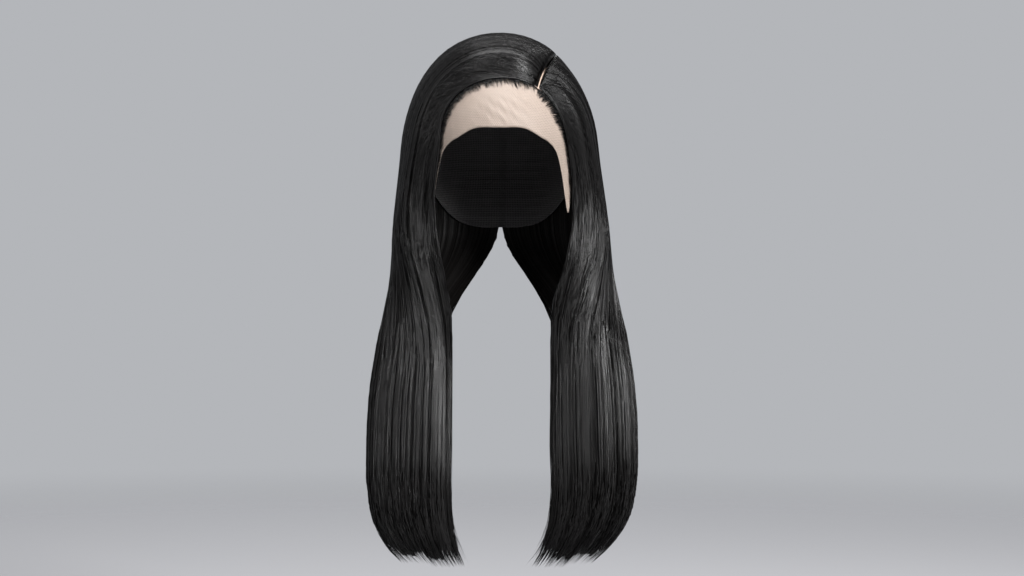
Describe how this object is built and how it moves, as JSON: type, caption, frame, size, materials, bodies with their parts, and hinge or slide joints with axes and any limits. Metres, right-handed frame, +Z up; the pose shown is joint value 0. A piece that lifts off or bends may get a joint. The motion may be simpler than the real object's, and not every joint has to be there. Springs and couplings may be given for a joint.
{
  "type": "lace front wig",
  "caption": "Long straight black side-parted wig: net cap, sheer lace front with ear tabs, and hair in locks brought forward over both shoulders.",
  "frame": {"origin": "the crown seat: the highest point of the head inside the cap", "axes": "+Z up, -Y to the wearer's front, +X to the wearer's left"},
  "size_m": [0.2514, 0.2161, 0.5031],
  "materials": {
    "black_hair": "straight hair fibre with a satin sheen",
    "cap_net": "matte stretch net",
    "skin_lace": "sheer hexagonal net"
  },
  "bodies": {
    "root": {"cap": "cap_net", "lace_front": "skin_lace", "parting_lace": "skin_lace", "hair_right_face": "black_hair", "hair_right_front": "black_hair", "hair_right_side": "black_hair", "hair_right_back": "black_hair", "hair_right_nape": "black_hair", "hair_left_face": "black_hair", "hair_left_front": "black_hair", "hair_left_side": "black_hair", "hair_left_back": "black_hair", "hair_left_nape": "black_hair"}
  },
  "joints": []
}
